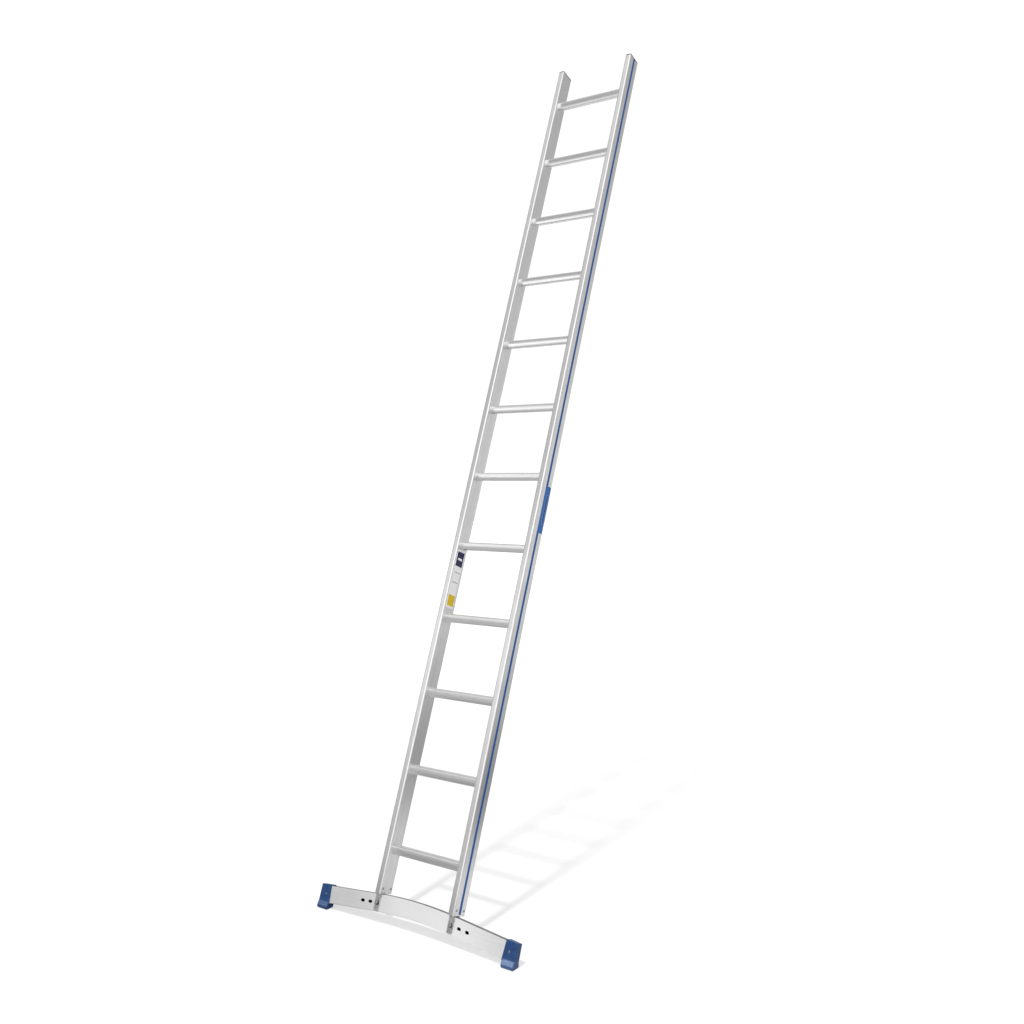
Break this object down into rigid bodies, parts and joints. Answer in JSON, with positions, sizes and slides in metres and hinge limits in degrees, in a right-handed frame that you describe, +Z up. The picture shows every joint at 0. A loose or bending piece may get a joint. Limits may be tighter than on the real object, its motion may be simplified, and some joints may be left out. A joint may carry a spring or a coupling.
{
  "type": "single section ladder",
  "caption": "Single section aluminium ladder leaning at its working angle: box stiles, swaged rungs, and an arched stabiliser bar on blue moulded feet.",
  "frame": {"origin": "on the floor, midway between the two soles", "axes": "+X to the right as seen by someone about to climb, +Y back towards the wall it leans on, +Z up from the level floor; the stiles lean back 20 degrees from the vertical"},
  "size_m": [0.8634, 1.2477, 3.2922],
  "materials": {
    "stile_metal": "mill-finish drawn aluminium with fine lines along its length",
    "rung_metal": "mill-finish drawn aluminium, slightly brighter where feet polish it",
    "bar_metal": "mill-finish drawn aluminium",
    "cast_metal": "fine-grained die casting",
    "zinc_steel": "dull zinc plating",
    "pin_steel": "dark bluish plating",
    "rivet_metal": "smooth pressed heads",
    "foot_plastic": "dark blue moulded plastic with a fine grain",
    "plug_plastic": "dark grey moulded plastic",
    "stripe_film": "smooth blue film",
    "label_film": "smooth white film with plain blocks of colour",
    "side_label_film": "smooth blue film with plain blocks of colour"
  },
  "bodies": {
    "root": {"foot_left": "foot_plastic", "foot_pins": "pin_steel", "foot_right": "foot_plastic", "info_label": "label_film", "rung_01": "rung_metal", "rung_02": "rung_metal", "rung_03": "rung_metal", "rung_04": "rung_metal", "rung_05": "rung_metal", "rung_06": "rung_metal", "rung_07": "rung_metal", "rung_08": "rung_metal", "rung_09": "rung_metal", "rung_10": "rung_metal", "rung_11": "rung_metal", "rung_12": "rung_metal", "shoe_left": "cast_metal", "shoe_right": "cast_metal", "shoe_rivets": "rivet_metal", "side_label": "side_label_film", "stabiliser_bar": "bar_metal", "stabiliser_bolts": "zinc_steel", "stabiliser_nuts": "zinc_steel", "stabiliser_washers": "zinc_steel", "stile_left": "stile_metal", "stile_right": "stile_metal", "stripe_left": "stripe_film", "stripe_right": "stripe_film", "top_plug_left": "plug_plastic", "top_plug_right": "plug_plastic"}
  },
  "joints": []
}
